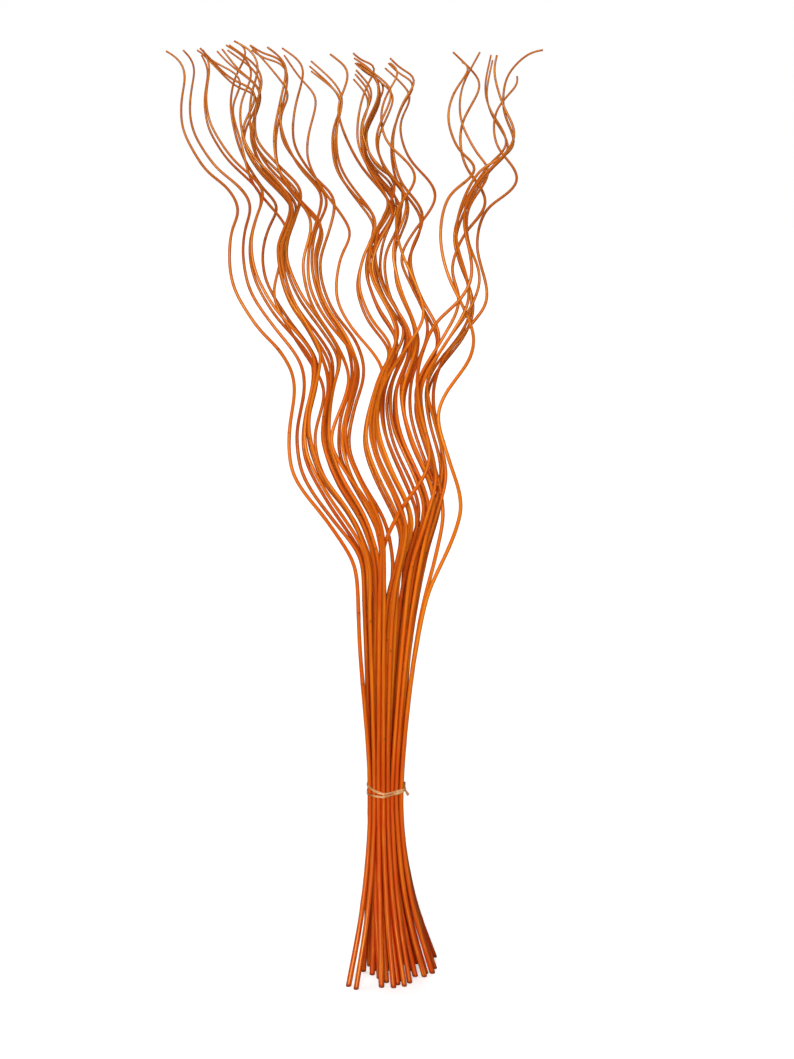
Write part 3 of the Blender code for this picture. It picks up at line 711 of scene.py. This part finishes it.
def tie(lines, materials):
    """The raffia: two crossing turns drawn round the bundle, a knot on its right and two tails."""
    base = seen_height(TIE_ROW)
    angles = np.linspace(0, 2 * math.pi, OUTLINE_STEPS, endpoint=False)
    middle, reach = outline_at(lines, base, angles)
    for number, heights in enumerate(STRAND_TURNS):
        clear = reach + 0.5 * STRAND_THICK + STRAND_CLEAR + STRAND_STACK * number
        ring = strand_loop(clear, angles, heights) + (middle[0], middle[1], base)
        place = np.linspace(0, WIDTH_SPAN, STRAND_STEPS) + WIDTH_SHIFT * number
        wide = STRAND_WIDTH * (1 + sum(height * np.sin(wave * place) for wave, height in WIDTH_WAVES))
        strand_piece(f"raffia_turn_{number + 1}", ring, (0.0, 0.0, 1.0), wide, STRAND_TWIST,
                     STRAND_PATTERN + number, np.zeros(STRAND_STEPS), materials)
    knot = np.array((middle[0] + reach[0], middle[1], base)) + KNOT_OFFSET
    for number, (name, line, broad, width, browning, twist) in enumerate(KNOT_PIECES):
        points = knot + catmull_rom(np.array(line), KNOT_LINE_STEPS)
        share = np.linspace(0, 1, len(points))
        strand_piece(name, points, broad, width * (1 + KNOT_WIDENING * share),
                     (KNOT_TURN * number, twist, KNOT_TWIST_LENGTH), KNOT_PATTERN + number,
                     browning * (BROWNING_START + (1 - BROWNING_START) * share), materials)


def studio():
    """A plain pale floor, soft light from the front and from high up behind, and the camera."""
    camera = bpy.data.objects.new("camera", bpy.data.cameras.new("camera"))
    camera.data.sensor_fit = "VERTICAL"
    camera.data.sensor_height = SENSOR
    distance = float(np.linalg.norm(AIM - EYE))
    camera.data.lens = SENSOR * distance / (PICTURE_SIZE[1] * PIXEL)
    camera.data.clip_start = 0.05
    camera.location = EYE + BUNDLE_SHIFT
    pitch = math.atan2(EYE[2] - AIM[2], AIM[1] - EYE[1])
    camera.rotation_euler = (math.pi / 2 - pitch, 0.0, 0.0)
    bpy.context.scene.collection.objects.link(camera)
    bpy.context.scene.camera = camera
    bpy.context.scene.view_settings.view_transform = "Standard"

    floor_mesh = bpy.data.meshes.new("floor")
    corners = [(x * FLOOR_REACH, y * FLOOR_REACH, 0) for x, y in ((-1, -1), (1, -1), (1, 1), (-1, 1))]
    floor_mesh.from_pydata(corners, [], [(0, 1, 2, 3)])
    floor = bpy.data.objects.new("floor", floor_mesh)
    bpy.context.scene.collection.objects.link(floor)
    floor_mesh.materials.append(pale_floor())

    for name, bearing, height, spread, strength in SUNS:
        lamp = bpy.data.objects.new(name, bpy.data.lights.new(name, "SUN"))
        lamp.data.energy = strength
        lamp.data.angle = math.radians(spread)
        lamp.rotation_euler = (math.radians(90.0 - height), 0.0, math.radians(bearing))
        bpy.context.scene.collection.objects.link(lamp)

    world = bpy.data.worlds.new("studio")
    bpy.context.scene.world = world
    world.use_nodes = True
    tree = world.node_tree
    background = tree.nodes["Background"]
    background.inputs["Color"].default_value = (1, 1, 1, 1)
    path = tree.nodes.new("ShaderNodeLightPath")
    level = tree.nodes.new("ShaderNodeMapRange")
    level.inputs["To Min"].default_value = WORLD_LIGHT
    level.inputs["To Max"].default_value = 1.0
    tree.links.new(path.outputs["Is Camera Ray"], level.inputs["Value"])
    tree.links.new(level.outputs[0], background.inputs["Strength"])


def pale_floor():
    """A faintly mottled floor, near-white to the camera and darker to the light that it bounces."""
    material, shader, build = new_material("pale_floor")
    noise = build.tree.nodes.new("ShaderNodeTexNoise")
    noise.inputs["Scale"].default_value = 6.0
    path = build.tree.nodes.new("ShaderNodeLightPath")
    seen = path.outputs["Is Camera Ray"]
    colour = build.mix(seen, FLOOR_BOUNCE, build.mix(noise.outputs[0], *FLOOR_SHADES))
    build.link(colour, shader.inputs["Base Color"])
    shader.inputs["Emission Color"].default_value = (1, 1, 1, 1)
    build.link(build.scaled(seen, FLOOR_GLOW), shader.inputs["Emission Strength"])
    shader.inputs["Roughness"].default_value = 0.9
    shader.inputs["Specular IOR Level"].default_value = 0.1
    return material


def main():
    bark, cut, strand = dyed_willow(), cut_wood(), raffia()
    sticks = sorted(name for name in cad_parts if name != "twine_wrap")
    lines = eased_apart([smooth_line(*node_rings(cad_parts[name])) for name in sticks])
    crowd = crowd_of(lines)
    for number, name in enumerate(sticks):
        stick(name, number, lines, crowd, (bark, cut))
    tie(lines, (strand, strand))
    studio()


main()
